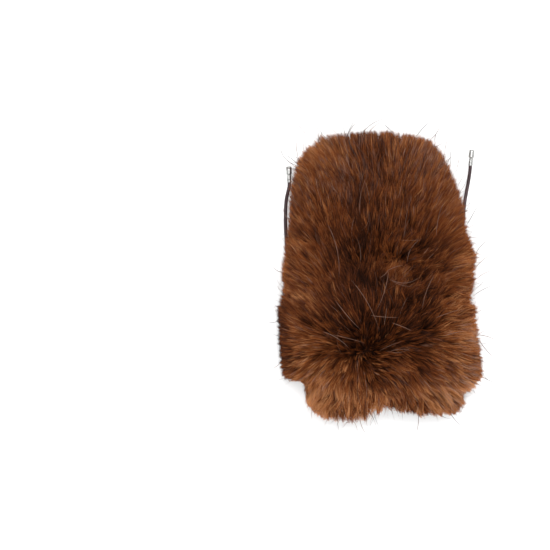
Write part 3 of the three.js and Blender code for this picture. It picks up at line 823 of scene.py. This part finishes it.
def looseRows(rng):
    # round the edge, standing out of the fur
    rows = []
    for _ in range(guard["loose"]):
        onHand = rng.random() < guard["onHand"]
        plan, inner = (handPlan, guard["handMiddle"]) if onHand else (cuffPlan, guard["cuffMiddle"])
        k = rng.integers(len(plan))
        a, b = np.array(plan[k], float), np.array(plan[(k + 1) % len(plan)], float)
        at = a + (b - a) * rng.random()
        if -30 < at[1] < 12 and abs(at[0]) < 84:
            continue  # the two outlines cross the mitten here
        away = unit(at - np.array(inner))
        turn = rng.normal(0, guard["turn"])
        away = np.array([away[0] * math.cos(turn) - away[1] * math.sin(turn),
                         away[0] * math.sin(turn) + away[1] * math.cos(turn)])
        start, end = at - away * guard["inside"], at + away * rng.uniform(*guard["past"])
        low, high = 22 + 14 * rng.random(), 28 + 20 * rng.random()
        if at[1] < -100 and abs(at[0]) < 76:
            low, high = 60 + 4 * rng.random(), 50 + 14 * rng.random()  # over the mouth
        rows.append([*start, *end, low, high, rng.normal(0, 2), rng.beta(1, 1.6)])
    return rows


def lyingRows(rng):
    # over the back, the way the hair is combed, from under its surface to just above it
    rows = []
    for _ in range(guard["lying"]):
        x, y = rng.uniform(-78, 78), rng.uniform(-112, 118)
        table, heights = (handCombing, handHeight) if y > -16 else (cuffCombing, cuffHeight)
        fx, fy = (float(v[0]) for v in combed(table, np.array([x]), np.array([y])))
        way = unit(np.array([fx, fy]) + rng.normal(0, guard["lyingTurn"], 2))
        end = np.array([x, y]) + way * rng.uniform(*guard["lyingReach"])
        low, high = (np.interp(v, *zip(*heights)) for v in (y, end[1]))
        low *= 1 - (abs(x) / guard["halfWide"]) ** 3 * 0.5
        high *= 1 - min(abs(end[0]) / guard["halfWide"], 1) ** 3 * 0.55
        rows.append([x, y, *end, low - 6, high + 1, rng.normal(0, 2.5), rng.beta(1.8, 1.8)])
    return rows


def growGuardHairs():
    rng = np.random.default_rng(fur["seed"] + 3)
    rows = np.array([list(row) for row in guardRows] + looseRows(rng) + lyingRows(rng))
    start, end, tone = rows[:, [0, 1, 4]], rows[:, [2, 3, 5]], rows[:, 7]
    side = np.stack([start[:, 1] - end[:, 1], end[:, 0] - start[:, 0], np.zeros(len(rows))], -1)
    middle = (start + end) / 2 + unit(side) * rows[:, 6:7] * 2 + np.array([0, 0, 2.0])
    points = bent(start, middle, end, np.linspace(0, 1, guard["spans"] + 1))
    free = np.array([y > 128 or y < -100 or abs(x) > 88 for x, y in rows[:, 2:4]])
    radius = np.where((np.arange(len(rows)) < len(guardRows)) & free, guard["thick"], guard["thin"])
    spikes("guard_hairs", points, radius, tone, guardMaterial())


growGuardHairs()
print("stage: guard hairs")

# The leather bag and thumb: their sections as in the CAD source, and the depth of the drawn folds
leather = {
    "wall": 2.0,
    "outside": (-110, 116, 76),  # where its rings begin and end, and how many there are
    "inside": (114.5, -110.5, 76),
    "segments": 112,
    "folds": 14,
    "powers": (3.6, 2.3),
    "lip": ((-111.6, 1.8), (-112, 1.4), (-112, 0.5), (-111.5, 0.1)),  # from the inside to the outside
    "thumbWall": 1.6,
    "thumbOutside": (-9, 57, 44),
    "thumbInside": (55.4, -7.4, 40),
    "thumbSegments": 64,
    "thumbPowers": (3.0, 5.0),
    "holePlace": (-29, 11, 13),
    "holeSize": (28, 24, 12),
    "dark": (0.022, 0.011, 0.008),
    "light": (0.075, 0.04, 0.028),
}
# The hides' insides follow the bag at these places along it
underfur = {"clear": 0.4, "rings": 40, "hand": (-24, -10, 4, 28, 62, 86, 102, 108, 112),
            "cuff": (-111, -88, -58, -34, -16, 2),
            "dark": (0.008, 0.003, 0.002), "light": (0.035, 0.011, 0.004)}
bagSections = [(-112, -66, 64, 13, 52, 0), (-88, -70, 68, 13, 54, 0), (-58, -68, 66, 13, 52, 1),
               (-34, -60, 58, 13, 46, 3), (-16, -54, 52, 13, 40, 5), (2, -58, 56, 13, 42, 2),
               (28, -62, 61, 13, 45, 0), (62, -61, 56, 13, 44, 0), (86, -56, 48, 13, 40, 0),
               (102, -46, 38, 14, 35, 0), (111, -32, 25, 15, 30, 0), (116, -15, 9, 17, 25, 0)]
thumbSections = [(-9, -40, -18, 2, 10.7), (-4, -47, -11, 0, 12.7), (10, -51, -9, 0, 12.7),
                 (34, -49, -13, 0, 12.7), (50, -44, -18, 0.6, 12.1), (57, -38, -25, 2.4, 10.3)]


def wayRound(segments):
    return np.arange(segments) / segments * 2 * math.pi


def bagRing(y, inset, folded=True):
    left, right, under, top, depth = rowAt(bagSections, y)
    angle = wayRound(leather["segments"])
    half = (right - left) / 2 - inset
    x, z = onSection(left + inset, right - inset, under + inset, top - inset, angle, *leather["powers"])
    if folded:
        middle, waist = (left + right) / 2, under + inset + (top - under - 2 * inset) * waistShare
        drawn = 1 - depth * (1 + np.cos(leather["folds"] * angle)) / 2 / half
        x, z = middle + (x - middle) * drawn, waist + (z - waist) * drawn
    return np.stack([x, np.full_like(x, y), z], -1)


def sleeve(rings, closed):
    # a body through rings of points: one ring is extruded to the next, and the ends are filled or joined
    bm = bmesh.new()

    def laid(front, ring):
        # moves a ring of corners to its place and returns its edges
        for vert, at in zip(front, ring):
            vert.co = Vector(at * mm + shift)
        return [bm.edges.get(pair) for pair in zip(front, front[1:] + front[:1])]

    front = list(bmesh.ops.create_circle(bm, segments=len(rings[0]), radius=1)["verts"])
    firstEdges = edges = laid(front, rings[0])
    for ring in rings[1:]:
        made = bmesh.ops.extrude_edge_only(bm, edges=edges)["geom"]
        walls = [part for part in made if isinstance(part, bmesh.types.BMFace)]
        old = set(front)
        twin = {}
        for edge in (edge for wall in walls for edge in wall.edges):
            a, b = edge.verts
            if (a in old) != (b in old):
                twin[a if a in old else b] = b if a in old else a
        front = [twin[vert] for vert in front]
        edges = laid(front, ring)
    if closed:
        bmesh.ops.bridge_loops(bm, edges=firstEdges + edges)
    else:
        bmesh.ops.contextual_create(bm, geom=firstEdges)
        bmesh.ops.contextual_create(bm, geom=edges)
    bmesh.ops.recalc_face_normals(bm, faces=bm.faces)
    return bm


# The dark hide with its underfur, round the bag. Its near-black is partly the underfur's own colour and
# partly painted shade deep under the hair
def underfurMaterial():
    made, tree, shader = newMaterial("underfur", 0.95, 0.1)
    place = objectPlace(tree)
    colour = ramp(tree, [(0.3, underfur["dark"]), (0.7, underfur["light"])], noise(tree, place, 260, 5))
    tree.links.new(colour, shader.inputs["Base Color"])
    bump(tree, shader, noise(tree, place, 700, 4), 0.001)
    return made


def hideRings(table, stretch, towardsTip):
    angle = wayRound(leather["segments"])
    places = np.linspace(*stretch, underfur["rings"])
    return [hidePoint(table, np.full_like(angle, along), angle, towardsTip) for along in places]


def makeHides():
    look = underfurMaterial()
    lining = [bagRing(y, -underfur["clear"], False) for y in underfur["hand"]]
    tip = lining[-1].mean(0)
    lining.append(tip + (lining[-1] - tip) * 0.1)
    outer = hideRings(handHide, (hideLength(handHide) - 0.5, 0), True)
    hand = fromBmesh("hand_underfur", sleeve(outer + lining, False), look)
    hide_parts("hand_fur")
    lining = [bagRing(y, -underfur["clear"], False) for y in underfur["cuff"]]
    outer = hideRings(cuffHide, (0, hideLength(cuffHide)), False)
    cuff = fromBmesh("cuff_underfur", sleeve(outer + lining, True), look)
    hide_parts("cuff_fur_back", "cuff_fur_palm")


makeHides()
print("stage: hides")


def leatherMaterial():
    made, tree, shader = newMaterial("palmLeather")
    place = objectPlace(tree)
    grain = noise(tree, place, 900, 5, 0.6)
    colour = ramp(tree, [(0.3, leather["dark"]), (0.7, leather["light"])], noise(tree, place, 60, 4))
    tree.links.new(colour, shader.inputs["Base Color"])
    tree.links.new(between(tree, grain, 0.5, 0.75), shader.inputs["Roughness"])
    bump(tree, shader, grain, 0.0003)
    return made


def thumbRing(y, inset):
    left, right, under, top = rowAt(thumbSections, y)
    angle = wayRound(leather["thumbSegments"])
    x, z = onSection(left + inset, right - inset, under + inset, top - inset, angle, *leather["thumbPowers"])
    return np.stack([x, np.full_like(x, y), z], -1)


def cutBody(thing, bm):
    # takes a body away from a piece
    mesh = bpy.data.meshes.new("cutter")
    bm.to_mesh(mesh)
    bm.free()
    cutter = bpy.data.objects.new("cutter", mesh)
    bpy.context.collection.objects.link(cutter)
    cut = thing.modifiers.new("cut", "BOOLEAN")
    cut.object = cutter
    cut.solver = "EXACT"
    cut.operation = "DIFFERENCE"
    whole = bpy.data.meshes.new_from_object(thing.evaluated_get(bpy.context.evaluated_depsgraph_get()))
    thing.modifiers.clear()
    thing.data = whole
    bpy.data.objects.remove(cutter)


def thumbHole():
    # the upright oval that joins the thumb's inside to the hand's
    bm = bmesh.new()
    bmesh.ops.create_cone(bm, cap_ends=True, segments=48, radius1=0.5, radius2=0.5, depth=1)
    bmesh.ops.scale(bm, vec=Vector(leather["holeSize"]) * mm, verts=bm.verts)
    bmesh.ops.translate(bm, vec=Vector(placed(leather["holePlace"])), verts=bm.verts)
    return bm


def makeLeather():
    look = leatherMaterial()
    inner = [bagRing(y, leather["wall"]) for y in np.linspace(*leather["inside"])]
    lip = [bagRing(y, inset) for y, inset in leather["lip"]]
    outer = [bagRing(y, 0) for y in np.linspace(*leather["outside"])]
    bag = fromBmesh("leather_bag", sleeve(inner + lip + outer, False), look)
    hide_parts("palm_panel", "back_panel")
    outer = [thumbRing(y, 0) for y in np.linspace(*leather["thumbOutside"])]
    inner = [thumbRing(y, leather["thumbWall"]) for y in np.linspace(*leather["thumbInside"])]
    thumb = fromBmesh("thumb_leather", sleeve(outer, False), look)
    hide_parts("thumb_stall")
    cutBody(thumb, sleeve(inner, False))
    for thing in (bag, thumb):
        cutBody(thing, thumbHole())


makeLeather()
print("stage: leather")


# Floor and studio light
studio = {"floor": (0.95, 0.95, 0.95), "half": 4, "glow": 0.2, "sky": 0.72,
          "key": (1.2, 56, (0.2, 0.7, 3.0)), "fill": (1.2, 22, (-0.4, -1.2, 2.4))}  # size, power and place


def addLamp(name, size, power, place):
    lamp = bpy.data.lights.new(name, "AREA")
    lamp.size = size
    lamp.energy = power
    thing = bpy.data.objects.new(name, lamp)
    thing.location = place
    thing.rotation_euler = (-Vector(place)).to_track_quat("-Z", "Y").to_euler()
    bpy.context.collection.objects.link(thing)


def makeStudio():
    bm = bmesh.new()
    bmesh.ops.create_grid(bm, x_segments=1, y_segments=1, size=studio["half"])
    mesh = bpy.data.meshes.new("floor")
    bm.to_mesh(mesh)
    bm.free()
    floor = bpy.data.objects.new("floor", mesh)
    bpy.context.collection.objects.link(floor)
    made, tree, shader = newMaterial("paper", 0.9, 0.1)
    shader.inputs["Base Color"].default_value = (*studio["floor"], 1)
    # it glows a little, which softens the shadows on it
    shader.inputs["Emission Color"].default_value = (1, 1, 1, 1)
    shader.inputs["Emission Strength"].default_value = studio["glow"]
    mesh.materials.append(made)
    space = bpy.data.worlds.new("studio")
    bpy.context.scene.world = space
    space.use_nodes = True
    space.node_tree.nodes["Background"].inputs[0].default_value = (1, 1, 1, 1)
    space.node_tree.nodes["Background"].inputs[1].default_value = studio["sky"]
    for name in ("key", "fill"):
        addLamp(name, *studio[name])
    bpy.context.scene.view_settings.view_transform = "Standard"


makeStudio()
print("stage: studio")
